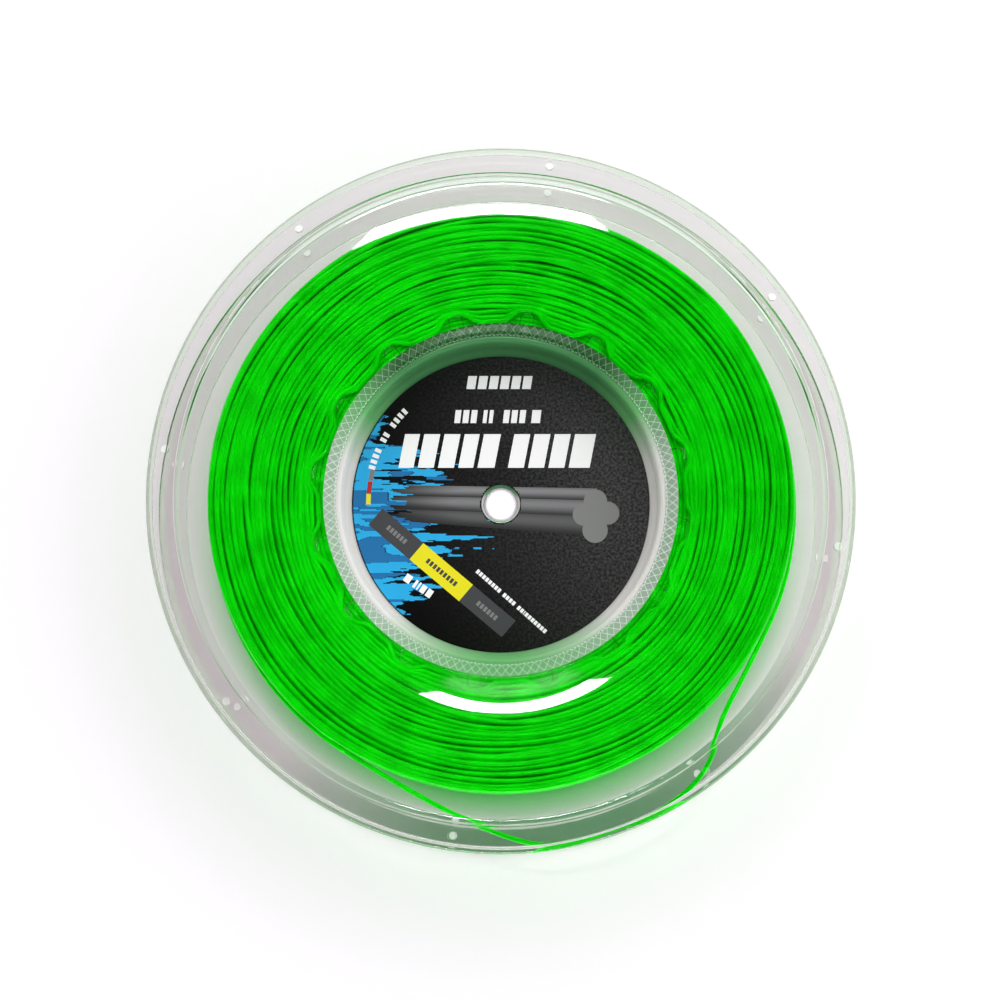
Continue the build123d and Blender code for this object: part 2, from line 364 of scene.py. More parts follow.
# ---------------------------------------------------------------- mesh helpers
def make_object(name, verts, faces, materials, face_mats=None, smooth=True, sharp=None):
    me = bpy.data.meshes.new(name)
    me.from_pydata([tuple(v) for v in verts], [], [tuple(f) for f in faces])
    for m in materials:
        me.materials.append(m)
    if face_mats is not None:
        me.polygons.foreach_set("material_index", np.asarray(face_mats, dtype=np.int32))
    me.polygons.foreach_set("use_smooth", [smooth] * len(me.polygons))
    me.update()
    if smooth and sharp is not None:
        me.set_sharp_from_angle(angle=math.radians(sharp))
    o = bpy.data.objects.new(name, me)
    bpy.context.scene.collection.objects.link(o)
    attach(o, "root")
    return o


def arc(cx, cz, r, a0, a1, n):
    return [
        (cx + r * math.cos(math.radians(a0 + (a1 - a0) * i / n)), cz + r * math.sin(math.radians(a0 + (a1 - a0) * i / n)))
        for i in range(n + 1)
    ]


def rounded(points, n=5):
    """A closed outline with its corners rounded. Each point is (r, z) or (r, z, radius)."""
    out = []
    count = len(points)
    for i, p in enumerate(points):
        radius = p[2] if len(p) > 2 else 0.0
        if radius <= 0:
            out.append((p[0], p[1]))
            continue
        a = Vector(points[i - 1][:2]) - Vector(p[:2])
        b = Vector(points[(i + 1) % count][:2]) - Vector(p[:2])
        la, lb = a.length, b.length
        a.normalize()
        b.normalize()
        half = a.angle(b) / 2
        cut = min(radius / math.tan(half), 0.49 * la, 0.49 * lb)
        radius = cut * math.tan(half)
        centre = Vector(p[:2]) + (a + b).normalized() * (radius / math.sin(half))
        s, e = Vector(p[:2]) + a * cut - centre, Vector(p[:2]) + b * cut - centre
        sweep = s.angle_signed(e)
        for k in range(n + 1):
            t = -sweep * k / n
            out.append((centre.x + s.x * math.cos(t) - s.y * math.sin(t), centre.y + s.x * math.sin(t) + s.y * math.cos(t)))
    return out


def turned(profile, front=False, seg=SEG):
    """Vertices and quads of a closed outline (r, z) turned about the axis, faces outward."""
    pts = [(r, W - z) for r, z in profile] if front else list(profile)
    area = sum(p[0] * q[1] - q[0] * p[1] for p, q in zip(pts, pts[1:] + pts[:1]))
    if area < 0:
        pts = pts[::-1]
    k = len(pts)
    verts, faces = [], []
    for i in range(seg):
        a = 2 * math.pi * i / seg + math.radians(HOLE_ANGLE)
        c, s = math.cos(a), math.sin(a)
        verts.extend((r * c * MM, r * s * MM, z * MM) for r, z in pts)
    for i in range(seg):
        j = (i + 1) % seg
        for m in range(k):
            n = (m + 1) % k
            faces.append((i * k + m, j * k + m, j * k + n, i * k + n))
    return verts, faces, pts


def crown(r, offset=0.0):
    """Depth of the disc's crowned outer face at radius r, or of the same curve raised by offset."""
    return CROWN_Z + offset + CROWN_RADIUS - math.sqrt(CROWN_RADIUS**2 - (r - CREST_R) ** 2)


HUB_Z, FOOT_Z = crown(HUB_R), crown(STEP_FOOT_R)


# ---------------------------------------------------------------- flanges
def flange_profile():
    outer = [(r, crown(r)) for r in np.linspace(HUB_R + 0.5, 76.6, 60)]
    # a soft hollow leads the disc into the step
    foot = []
    z0, s0 = crown(76.6), (76.6 - CREST_R) / CROWN_RADIUS
    for x in np.linspace(0.15, 2.3, 12):
        t = x / 2.3
        foot.append((76.6 + x, z0 + s0 * x * (1 - t) - 0.30 * t**3.2))
    inner = [(r, crown(r, WALL)) for r in np.linspace(STEP_FOOT_R - 0.6, HUB_R, 48)]
    bead = [(BAND_R + 1.5 * math.sin(math.radians(a)), 1.5 - 1.5 * math.cos(math.radians(a))) for a in range(0, 91, 9)]
    pts = [(MOUTH_R, MOUTH_Z), (HUB_R, HUB_Z, 0.7)]
    pts += outer + foot
    pts += [(STEP_TOP_R - 0.28, 0.36), (STEP_TOP_R - 0.12, 0.17), (STEP_TOP_R + 0.02, 0.05), (STEP_TOP_R + 0.2, 0.0)]
    flat_out = (STEP_TOP_R + 0.2, BAND_R - 0.5)
    pts += [(BAND_R - 0.5, 0.0), (BAND_R - 0.25, 0.06), (BAND_R, 0.0)]
    pts += bead[1:]
    pts += [(OUTER_R, BEAD_T - 0.5)]
    pts += [(OUTER_R - 0.5 + 0.5 * math.cos(math.radians(a)), BEAD_T - 0.5 + 0.5 * math.sin(math.radians(a))) for a in (22, 45, 68, 90)]
    pts += [(BAND_R + 0.1, BEAD_T, 0.3), (BAND_R - 0.3, BAND_T, 0.3)]
    flat_in = (STEP_TOP_R + 1.1, BAND_R - 0.7)
    pts += [(BAND_R - 0.7, BAND_T), (STEP_TOP_R + 1.1, BAND_T), (STEP_TOP_R + 0.8, BAND_T + 0.06), (STEP_TOP_R, FOOT_Z + WALL - 0.12), (STEP_FOOT_R - 0.1, crown(STEP_FOOT_R, WALL))]
    pts += inner
    pts += [(HUB_R, SHOULDER_Z), (COLLAR_R, SHOULDER_Z), (COLLAR_R, COLLAR_Z - 0.3), (COLLAR_R - 0.3, COLLAR_Z), (CAP_STOP_R, COLLAR_Z), (CAP_STOP_R, CAP_STOP_Z), (MOUTH_R, CAP_STOP_Z)]
    return rounded(pts, 4), flat_out, flat_in


def zipped(outer, inner, centre, pos):
    """Triangles between an outer loop and a loop round a hole inside it, both anticlockwise."""
    def angles(loop):
        out = [math.atan2(pos[i][1] - centre[1], pos[i][0] - centre[0]) for i in loop]
        start = min(range(len(loop)), key=lambda k: out[k])
        loop = loop[start:] + loop[:start]
        out = out[start:] + out[:start]
        return loop + [loop[0]], out + [out[0] + 2 * math.pi]

    (o, oa), (n, na) = angles(outer), angles(inner)
    i = j = 0
    tris = []
    while i < len(o) - 1 or j < len(n) - 1:
        if j >= len(n) - 1 or (i < len(o) - 1 and oa[i + 1] <= na[j + 1]):
            tris.append((o[i], o[i + 1], n[j]))
            i += 1
        else:
            tris.append((o[i], n[j + 1], n[j]))
            j += 1
    return tris


def flange(name, node, front):
    profile, flat_out, flat_in = flange_profile()
    verts, faces, pts = turned(profile, front)
    k = len(pts)
    faces = np.array(faces).reshape(SEG, k, 4)
    keep = np.ones((SEG, k), dtype=bool)
    extra, reach, ring_n = [], 2, 24
    rings = {}
    for key, (r0, r1), z in (("out", flat_out, 0.0), ("in", flat_in, BAND_T)):
        z = W - z if front else z
        m = next(
            m
            for m in range(k)
            if abs(pts[m][1] - z) < 1e-6
            and abs(pts[(m + 1) % k][1] - z) < 1e-6
            and {round(pts[m][0], 4), round(pts[(m + 1) % k][0], 4)} == {round(r0, 4), round(r1, 4)}
        )
        m2 = (m + 1) % k
        lo, hi = (m, m2) if pts[m][0] < pts[m2][0] else (m2, m)
        rings[key] = []
        up = (key == "out") == front  # this face looks towards +Z
        for h in range(HOLE_COUNT):
            i0 = h * SEG // HOLE_COUNT
            cols = [(i0 + d) % SEG for d in range(-reach, reach + 1)]
            for c in cols[:-1]:
                keep[c, m] = False
            a = math.radians(HOLE_ANGLE + 360 / HOLE_COUNT * h)
            cx, cy = HOLE_PCD / 2 * math.cos(a) * MM, HOLE_PCD / 2 * math.sin(a) * MM
            base = len(verts)
            verts += [(cx + HOLE_R * MM * math.cos(2 * math.pi * i / ring_n), cy + HOLE_R * MM * math.sin(2 * math.pi * i / ring_n), z * MM) for i in range(ring_n)]
            ring = list(range(base, base + ring_n))
            rings[key].append(ring)
            loop = [c * k + hi for c in cols] + [c * k + lo for c in cols[::-1]]
            tris = zipped(loop, ring, (cx, cy), verts)
            extra += tris if up else [t[::-1] for t in tris]
    for low, high in zip(rings["out"], rings["in"]):
        for i in range(ring_n):
            j = (i + 1) % ring_n
            f = (low[i], low[j], high[j], high[i])
            extra.append(f if front else f[::-1])
    faces = [tuple(f) for f in faces[keep].tolist()] + extra
    me = bpy.data.meshes.new(name)
    me.from_pydata(verts, [], faces)
    bm = bmesh.new()
    bm.from_mesh(me)
    open_edges = sum(1 for e in bm.edges if not e.is_contiguous)
    assert open_edges == 0, (name, open_edges)
    for f in bm.faces:
        rr = [v.co.xy.length / MM for v in f.verts]
        mid = sum(rr) / len(rr)
        f.material_index = 1 if STEP_TOP_R - 0.05 < mid < BAND_R - 0.2 else 2 if MOUTH_R + 0.05 < mid < HUB_R - 0.3 and abs(W / 2 - f.calc_center_median().z / MM) > W / 2 - MOUTH_Z - 0.1 else 3 if STEP_FOOT_R - 0.03 < mid < STEP_TOP_R + 0.03 or mid > BAND_R - 0.2 else 0
        f.smooth = True
    bm.to_mesh(me)
    bm.free()
    me.materials.append(CLEAR if front else REAR)
    me.materials.append(BAND if front else BAND_REAR)
    me.materials.append(BEVEL)
    me.materials.append(EDGE)
    me.set_sharp_from_angle(angle=math.radians(32))
    o = bpy.data.objects.new(name, me)
    bpy.context.scene.collection.objects.link(o)
    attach(o, "root")
    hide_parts(node)
    return o


def lugs(name, front):
    """The 16 rounded lugs round the hub shoulder, on the flange's inner face."""
    verts, faces = [], []
    steps = 6
    for n in range(LUG_COUNT):
        a = math.radians(LUG_ANGLE + 360 / LUG_COUNT * n)
        c, s = math.cos(a), math.sin(a)
        outline = []
        r0, r1, h = HUB_R + 0.02, LUG_OUT_R, LUG_W / 2
        rad = 1.3
        outline += [(r0, -h), (r1 - rad, -h)]
        outline += [(r1 - rad + rad * math.cos(math.radians(t)), -h + rad + rad * math.sin(math.radians(t))) for t in range(-75, 1, 15)]
        outline += [(r1 - rad + rad * math.cos(math.radians(t)), h - rad + rad * math.sin(math.radians(t))) for t in range(0, 91, 15)]
        outline += [(r0, h)]
        k = len(outline)
        base = len(verts)
        levels = [(0.0, 1.0), (0.7, 1.0), (0.9, 0.96), (1.0, 0.86)]
        for t, shrink in levels:
            for x, y in outline:
                zb = crown(max(x, HUB_R), WALL) + 0.02
                z = zb + (LUG_Z - zb) * t
                xx = r0 + (x - r0) * (shrink if t > 0.7 else 1.0)
                yy = y * (shrink if t > 0.7 else 1.0)
                z = W - z if front else z
                verts.append(((xx * c - yy * s) * MM, (xx * s + yy * c) * MM, z * MM))
        flip = not front
        for L in range(len(levels) - 1):
            for i in range(k):
                j = (i + 1) % k
                f = (base + L * k + i, base + L * k + j, base + (L + 1) * k + j, base + (L + 1) * k + i)
                faces.append(f if flip else f[::-1])
        top = tuple(base + (len(levels) - 1) * k + i for i in range(k))
        bot = tuple(base + i for i in range(k))
        faces.append(top if flip else top[::-1])
        faces.append(bot[::-1] if flip else bot)
    return make_object(name, verts, faces, [LUGS], sharp=60)


front_flange = flange("front_flange_clear", "front_flange", True)
rear_flange = flange("rear_flange_clear", "rear_flange", False)
lugs("front_hub_lugs", True)
lugs("rear_hub_lugs", False)


# ---------------------------------------------------------------- knurled bevel at the hub's mouth
def knurl(name, front):
    """Crossing ribs on the bevel between the disc and the hub's mouth, with a bead at its foot."""
    verts, faces = [], []
    count = 128
    d = Vector((MOUTH_R - HUB_R, MOUTH_Z - HUB_Z)).normalized()
    nrm = Vector((d.y, -d.x)) if d.y * -1 < 0 else Vector((-d.y, d.x))
    if nrm.y > 0:
        nrm = -nrm
    steps = 5

    def rib(a0, a1, t0, t1, width, height):
        base = len(verts)
        for i in range(steps + 1):
            t = t0 + (t1 - t0) * i / steps
            a = a0 + (a1 - a0) * i / steps
            r = HUB_R + (MOUTH_R - HUB_R) * t
            z = HUB_Z + (MOUTH_Z - HUB_Z) * t
            # direction along the rib in the unrolled bevel, for the sideways step
            along = Vector(((a1 - a0) * r, math.hypot(MOUTH_R - HUB_R, MOUTH_Z - HUB_Z) * (t1 - t0))).normalized()
            side = Vector((along.y, -along.x))
            for off, h in ((-width / 2, 0.0), (-width / 4, height), (width / 4, height), (width / 2, 0.0)):
                da = off * side.x / r
                dt = off * side.y / math.hypot(MOUTH_R - HUB_R, MOUTH_Z - HUB_Z)
                rr = r + (MOUTH_R - HUB_R) * dt + nrm.x * (h + 0.012)
                zz = z + (MOUTH_Z - HUB_Z) * dt + nrm.y * (h + 0.012)
                zz = W - zz if front else zz
                verts.append((rr * math.cos(a + da) * MM, rr * math.sin(a + da) * MM, zz * MM))
        for i in range(steps):
            for m in range(4):
                n = (m + 1) % 4
                f = (base + i * 4 + m, base + i * 4 + n, base + (i + 1) * 4 + n, base + (i + 1) * 4 + m)
                faces.append(f)
        faces.append((base + 3, base + 2, base + 1, base))
        e = base + steps * 4
        faces.append((e, e + 1, e + 2, e + 3))

    pitch = 2 * math.pi / count
    for i in range(count):
        a = math.radians(HOLE_ANGLE) + pitch * i
        rib(a, a + pitch, 0.06, 0.92, 0.12, 0.05)
        rib(a + pitch, a, 0.06, 0.92, 0.12, 0.05)
        # short pegs of the bead at the bevel's foot
        rib(a + pitch * 0.18, a + pitch * 0.48, 0.93, 0.93001, 0.34, 0.16)
        rib(a + pitch * 0.62, a + pitch * 0.92, 0.95, 0.95001, 0.34, 0.16)
    o = make_object(name, verts, faces, [KNURL], sharp=30)
    bm = bmesh.new()
    bm.from_mesh(o.data)
    bmesh.ops.recalc_face_normals(bm, faces=bm.faces[:])
    bm.to_mesh(o.data)
    bm.free()
    return o


knurl("front_knurl", True)
knurl("rear_knurl", False)

# ---------------------------------------------------------------- barrel and hub caps
verts, faces, _ = turned(rounded([(BARREL_IN_R, SHOULDER_Z), (HUB_R, SHOULDER_Z), (HUB_R, W - SHOULDER_Z), (BARREL_IN_R, W - SHOULDER_Z)]), seg=256)
barrel = make_object("hub_barrel_tube", verts, faces, [TUBE], sharp=32)
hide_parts("hub_barrel")


def cap(name, node, front):
    fillet = [(x, z) for x, z in arc(CAP_WALL_R - CAP_FILLET, FLOOR_Z - CAP_FILLET, CAP_FILLET, 90, 0, 10)]
    pts = [(BORE_R, FLOOR_Z, 0.15)] + fillet
    pts += [(CAP_MOUTH_R, MOUTH_Z + 0.5, 0.5), (CAP_MOUTH_R + 0.35, MOUTH_Z + 0.1, 0.2), (CAP_R, MOUTH_Z + 0.1, 0.15)]
    pts += [(CAP_R, CAP_STOP_Z), (CAP_STOP_R - 0.05, CAP_STOP_Z), (CAP_STOP_R - 0.05, MID - 1.6), (CAP_STOP_R - 1.65, MID - 0.01), (BORE_R, MID - 0.01)]
    verts, faces, _ = turned(rounded(pts, 5), front)
    o = make_object(name, verts, faces, [CUP], sharp=32)
    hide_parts(node)
    return o


cap("front_hub_cup", "front_hub_cap", True)
cap("rear_hub_cup", "rear_hub_cap", False)


# ---------------------------------------------------------------- labels
def disc(name, node, front, material):
    z0, z1 = FLOOR_Z - LABEL_T + 0.02, FLOOR_Z - 0.01
    pts = rounded([(LABEL_HOLE_R, z0, 0.03), (LABEL_R, z0, 0.03), (LABEL_R, z1), (LABEL_HOLE_R, z1)], 3)
    verts, faces, _ = turned(pts, front, seg=256)
    o = make_object(name, verts, faces, [material], sharp=30)
    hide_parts(node)
    return o


disc("front_label_film", "front_label", True, PRINT_BLACK)
disc("rear_label_film", "rear_label", False, PRINT_BLACK)

LABEL_FACE = W - FLOOR_Z + LABEL_T - 0.02
PXL = 36.7 / 146.9  # mm on the label for one unit of the layout grid


def lay(x, y):
    """From the layout grid, 1000 by 1000 with y down and the label's centre at (501.1, 504.9), to mm."""
    return (x - 501.1) * PXL, (504.9 - y) * PXL


def prints(name, shapes, material, level):
    """Flat printed shapes, each a polygon in the layout grid, as one closed thin layer each."""
    verts, faces = [], []
    z0 = LABEL_FACE + 0.002 + 0.004 * level
    z1 = z0 + 0.003
    for poly in shapes:
        pts = [lay(*p) for p in poly]
        if sum(p[0] * q[1] - q[0] * p[1] for p, q in zip(pts, pts[1:] + pts[:1])) < 0:
            pts = pts[::-1]
        b, k = len(verts), len(pts)
        verts += [(x * MM, y * MM, z0 * MM) for x, y in pts] + [(x * MM, y * MM, z1 * MM) for x, y in pts]
        faces.append(tuple(range(b + k - 1, b - 1, -1)))
        faces.append(tuple(range(b + k, b + 2 * k)))
        for i in range(k):
            j = (i + 1) % k
            faces.append((b + i, b + j, b + k + j, b + k + i))
    return make_object(name, verts, faces, [material], smooth=False)


def inside(poly, margin=1.2):
    """True if the polygon stays on the film."""
    return all(
        LABEL_HOLE_R + 0.1 < math.hypot(*lay(*p)) < LABEL_R - margin * PXL for p in poly
    )


def slanted(x0, x1, y0, y1, lean):
    """A parallelogram that leans like italic print."""
    return [(x0, y1), (x1, y1), (x1 + lean, y0), (x0 + lean, y0)]


pr = random.Random(11)

# brush strokes on the left, two blues, torn towards the right
def brushed(seed, sx, sy, width=260, rows=260):
    """Smooth noise over the layout, drawn out along x."""
    g = np.random.default_rng(seed)
    gx, gy = int(width / sx) + 3, int(rows / sy) + 3
    grid = g.normal(size=(gy, gx))
    yy, xx = np.meshgrid(np.arange(rows) / sy, np.arange(width) / sx, indexing="ij")
    y0, x0 = yy.astype(int), xx.astype(int)
    fy, fx = yy - y0, xx - x0
    fy, fx = fy * fy * (3 - 2 * fy), fx * fx * (3 - 2 * fx)
    top = grid[y0, x0] * (1 - fx) + grid[y0, x0 + 1] * fx
    low = grid[y0 + 1, x0] * (1 - fx) + grid[y0 + 1, x0 + 1] * fx
    return top * (1 - fy) + low * fy


LX, LY, PITCH = 350.0, 390.0, 0.9  # layout origin and spacing of the strokes
mask = brushed(5, 46, 5.5) + 0.75 * brushed(6, 22, 2.6) + 0.45 * brushed(7, 9, 1.4)
shade = brushed(8, 60, 9.0) + 0.8 * brushed(9, 26, 3.0)
cyan, blue = [], []
for row in range(250):
    y = LY + row * PITCH
    if abs(y - 504.9) > 143:
        continue
    edge = 501.1 - math.sqrt(146.2**2 - (504.9 - y) ** 2)
    reach = 138 * math.exp(-(((y - 527) / 42.0) ** 2)) + 46 * math.exp(-(((y - 590) / 22.0) ** 2)) + 62 * math.exp(-(((y - 458) / 26.0) ** 2))
    if reach < 5:
        continue
    xs = np.arange(edge, edge + 1.7 * reach, 1.0)
    col = np.clip((xs - LX).astype(int), 0, 259)
    t = (xs - edge) / reach
    on = mask[row, col] > -2.4 + 3.3 * t**1.1 + (1.2 if y < 446 or y > 600 else 0.0)
    kind = np.where(on, np.where(shade[row, col] + 0.9 * t > 0.05, 2, 1), 0)
    k = 0
    while k < len(kind):
        if kind[k] == 0:
            k += 1
            continue
        e = k
        while e < len(kind) and kind[e] == kind[k]:
            e += 1
        a0, a1 = xs[k], xs[e - 1] + 1.0
        tip = min(1.2, (a1 - a0) * 0.3)
        h = PITCH * 0.52
        poly = [(a0, y), (a0 + tip, y - h), (a1 - tip, y - h), (a1, y), (a1 - tip, y + h), (a0 + tip, y + h)]
        if a1 - a0 > 1.0 and inside(poly, 0.2):
            (cyan if kind[k] == 2 else blue).append(poly)
        k = e
prints("label_splash_blue", blue, PRINT_BLUE, 0)
prints("label_splash_cyan", cyan, PRINT_CYAN, 1)


# a bundle of grey rods drawn across the middle, with a four-lobed end
def tone_patch(name, grid, tones, level):
    """A grid of points in the layout with a tone at each, as one thin closed layer."""
    rows, cols = len(grid), len(grid[0])
    z0 = LABEL_FACE + 0.002 + 0.004 * level
    verts = [(*[c * MM for c in lay(*p)], (z0 + 0.003) * MM) for row in grid for p in row]
    verts += [(*[c * MM for c in lay(*p)], z0 * MM) for row in grid for p in row]
    n = rows * cols
    faces = []
    for i in range(rows - 1):
        for j in range(cols - 1):
            a, b, c, d = i * cols + j, i * cols + j + 1, (i + 1) * cols + j + 1, (i + 1) * cols + j
            faces.append((a, d, c, b))
            faces.append((n + a, n + b, n + c, n + d))
    ring = [j for j in range(cols)] + [i * cols + cols - 1 for i in range(1, rows)] + [(rows - 1) * cols + j for j in range(cols - 2, -1, -1)] + [i * cols for i in range(rows - 2, 0, -1)]
    for a, b in zip(ring, ring[1:] + ring[:1]):
        faces.append((a, b, n + b, n + a))
    o = make_object(name, verts, faces, [PRINT_TONE], smooth=False)
    bm = bmesh.new()
    bm.from_mesh(o.data)
    bmesh.ops.recalc_face_normals(bm, faces=bm.faces[:])
    bm.to_mesh(o.data)
    bm.free()
    attr = o.data.color_attributes.new("tone", "FLOAT_COLOR", "POINT")
    flat = [t for row in tones for t in row] * 2
    for k, t in enumerate(flat):
        attr.data[k].color = (t, t, t * 1.02, 1)
    return o


def rod_edges(x):
    """Heights of the rods' edges at x in the layout: four lines that close in to the left."""
    t = (x - 392) / (596 - 392)
    mid = 507.0 + 6.0 * (t - 0.5)
    return [mid - (18 + 2.5 * t), mid - (7.5 + 1.0 * t), mid + (5.5 + 2.0 * t), mid + (17 + 10.0 * t)]


def cells(name, quads, tones, level):
    """Small printed cells, each with its own tone, as thin closed boxes."""
    z0 = LABEL_FACE + 0.002 + 0.004 * level
    z1 = z0 + 0.003
    verts, faces, flat = [], [], []
    for quad, t in zip(quads, tones):
        pts = [lay(*p) for p in quad]
        if sum(p[0] * q[1] - q[0] * p[1] for p, q in zip(pts, pts[1:] + pts[:1])) < 0:
            pts = pts[::-1]
        b = len(verts)
        verts += [(x * MM, y * MM, z0 * MM) for x, y in pts] + [(x * MM, y * MM, z1 * MM) for x, y in pts]
        faces += [(b + 3, b + 2, b + 1, b), (b + 4, b + 5, b + 6, b + 7)]
        faces += [(b + i, b + (i + 1) % 4, b + 4 + (i + 1) % 4, b + 4 + i) for i in range(4)]
        flat += [t] * 8
    o = make_object(name, verts, faces, [PRINT_TONE], smooth=False)
    attr = o.data.color_attributes.new("tone", "FLOAT_COLOR", "POINT")
    attr.data.foreach_set("color", np.array([(t, t, t * 1.03, 1.0) for t in flat], dtype=np.float32).ravel())
    return o


quads, tones = [], []
xs = np.arange(392.0, 597.5, 1.5)
for k in range(3):
    for i in range(11):
        v0, v1 = i / 11, (i + 1) / 11
        v = (v0 + v1) / 2
        for xa, xb in zip(xs[:-1], xs[1:]):
            ea, eb = rod_edges(xa), rod_edges(xb)
            quad = [
                (xa, ea[k] + (ea[k + 1] - ea[k]) * v0),
                (xb, eb[k] + (eb[k + 1] - eb[k]) * v0),
                (xb, eb[k] + (eb[k + 1] - eb[k]) * v1),
                (xa, ea[k] + (ea[k + 1] - ea[k]) * v1),
            ]
            if min(math.hypot(x - 501.1, y - 504.9) for x, y in quad) < 19.4:
                continue
            if xa < 399 + 11 * math.sin(9 * v + 3 * k) + 5 * math.sin(23 * v + 5 * k):
                continue
            fade = min(1.0, max(0.0, (xa - 388 - 8 * math.sin(7 * v + 2 * k)) / 70))
            light = (0.30, 0.27, 0.13)[k] * (0.22 + 0.78 * math.sin(math.pi * (0.14 + 0.84 * v)) ** 1.6) * (1.2 - 0.85 * v)
            quads.append(quad)
            tones.append(0.010 + fade * light)
cells("label_rods", quads, tones, 2)

lobes = []
for cx, cy, rr in ((594.5, 502.0, 11.5), (606.5, 514.0, 11.5), (594.0, 531.0, 12.5), (583.0, 515.5, 11.0), (594.5, 516.5, 12.5)):
    lobes.append([(cx + rr * math.cos(2 * math.pi * i / 40), cy + rr * math.sin(2 * math.pi * i / 40)) for i in range(40)])
PRINT_END = plain("print_rod_end", (0.27, 0.275, 0.265), 0.45, 0.1)
for i, lobe in enumerate(lobes):
    prints(f"label_rod_end_{i}", [lobe], PRINT_END, 3 + i)

# the slanted three-part bar, lower left
u = Vector((508.0 - 372.0, 627.0 - 512.0)).normalized()
v = Vector((-u.y, u.x))
start, half = Vector((377.5, 517.5)), 10.6


def bar(s0, s1):
    return [tuple(start + u * s0 - v * half), tuple(start + u * s1 - v * half), tuple(start + u * s1 + v * half), tuple(start + u * s0 + v * half)]


prints("label_bar_grey", [bar(0, 53), bar(117, 172)], PRINT_GREY, 4)
prints("label_bar_yellow", [bar(53, 117)], PRINT_YELLOW, 4)


def bar_marks(s0, s1, count):
    out = []
    step = (s1 - s0) / count
    for i in range(count):
        a, b = s0 + step * i + 0.7, s0 + step * (i + 1) - 0.7
        out.append([tuple(start + u * a - v * 2.6), tuple(start + u * b - v * 2.6), tuple(start + u * b + v * 2.6), tuple(start + u * a + v * 2.6)])
    return out


PRINT_MID = plain("print_mid_grey", (0.25, 0.25, 0.25), 0.45, 0.3)
prints("label_bar_marks_a", bar_marks(15, 40, 6), PRINT_MID, 5)
prints("label_bar_marks_b", bar_marks(66, 105, 9), PRINT_GREY, 5)
prints("label_bar_marks_c", bar_marks(131, 157, 6), PRINT_MID, 5)

# plain blocks stand where a real label has words
title = []
x = 400.0
for wdt in (19, 20, 20, 19, 21, -9, 20, 20, 20, 25):
    if wdt < 0:
        x -= wdt
        continue
    title.append(slanted(x, x + wdt - 4.2, 435.5, 469.0, 6.5))
    x += wdt
prints("label_title_blocks", title, PRINT_WHITE_GLOW, 5)
small = []
x = 455.0
for wdt in (8, 8, 8, -4, 6, 6, -8, 8, 8, 8, -4, 11):
    if wdt < 0:
        x -= wdt
        continue
    small.append(slanted(x, x + wdt - 2.2, 411.5, 424.5, 1.5))
    x += wdt
prints("label_length_blocks", small, PRINT_WHITE_GLOW, 5)
head = []
x = 467.0
for wdt in (11, 11, 11, 11, 11, 11):
    head.append(slanted(x, x + wdt - 2.4, 377.5, 390.5, 2.0))
    x += wdt
prints("label_head_blocks", head, PRINT_WHITE_GLOW, 5)

# small marks along the label's left edge
marks = []
for i in range(13):
    if i in (4, 7, 12):
        continue
    a = math.radians(136.0 + i * 2.55)
    r0, r1 = 129.0, 135.5
    da = math.radians(0.78)
    marks.append([(501.1 + r * math.cos(a + s), 504.9 - r * math.sin(a + s)) for r, s in ((r0, -da), (r1, -da), (r1, da), (r0, da))])
prints("label_edge_marks", marks, PRINT_WHITE_GLOW, 5)
for nm, a0, a1, mat in (("grey", 165.0, 169.8, PRINT_MID), ("red", 170.2, 175.2, PRINT_RED), ("yellow", 175.6, 180.2, PRINT_YELLOW)):
    a0, a1 = math.radians(a0), math.radians(a1)
    prints(f"label_tick_{nm}", [[(501.1 + r * math.cos(a), 504.9 - r * math.sin(a)) for r, a in ((128.5, a0), (133.0, a0), (133.0, a1), (128.5, a1))]], mat, 5)

low = []
p0, p1 = Vector((477.5, 571.0)), Vector((542.0, 628.5))
d = (p1 - p0).normalized()
nv = Vector((-d.y, d.x))
s = 0.0
for wdt in (4, 4, 4, 4, 4, 4, 4, 4, -3, 4, 4, 4, 4, -3, 4, 4, 2, 4, 4, 4, 4, 4, 4, 4):
    if wdt < 0:
        s -= wdt
        continue
    a, b = p0 + d * s, p0 + d * (s + wdt - 1.0)
    low.append([tuple(a - nv * 2.1), tuple(b - nv * 2.1), tuple(b + nv * 2.1), tuple(a + nv * 2.1)])
    s += wdt
prints("label_low_marks", low, PRINT_WHITE_GLOW, 5)
gauge = []
p0 = Vector((407.0, 577.0))
d = Vector((0.82, 0.57)).normalized()
nv = Vector((-d.y, d.x))
s = 0.0
for wdt in (8.5, -2.5, 4.5, 3.5, 7.0, 7.5):
    if wdt < 0:
        s -= wdt
        continue
    a, b = p0 + d * s, p0 + d * (s + wdt - 1.8)
    gauge.append([tuple(a - nv * 4.2), tuple(b - nv * 4.2), tuple(b + nv * 4.2), tuple(a + nv * 4.2)])
    s += wdt
prints("label_gauge_blocks", gauge, PRINT_WHITE_GLOW, 5)


# ---------------------------------------------------------------- the wound string
def field(count, amp, m_range, q_range, seed, power=0.6):
    """A smooth random displacement over the angle and the radius or height."""
    g = np.random.default_rng(seed)
    m = g.integers(m_range[0], m_range[1] + 1, count)
    q = g.uniform(*q_range, count) * g.choice([-1, 1], count)
    ph = g.uniform(0, 2 * math.pi, count)
    a = 1.0 / (m + 1.0) ** power
    a = a / np.sqrt((a**2).sum() / 2) * amp

    def at(phi, x):
        return sum(ak * np.cos(mk * phi + qk * x + pk) for ak, mk, qk, pk in zip(a, m, q, ph))

    return at


def lug_bump(phi):
    """How far the string stands out over a lug, 0 to 1, at each angle."""
    step = 2 * math.pi / LUG_COUNT
    d = (phi - math.radians(LUG_ANGLE) + step / 2) % step - step / 2
    d = np.abs(np.degrees(d))
    return np.where(d < 7.5, 0.5 + 0.5 * np.cos(np.pi * np.clip((d - 1.6) / 5.9, 0, 1)), 0.0)


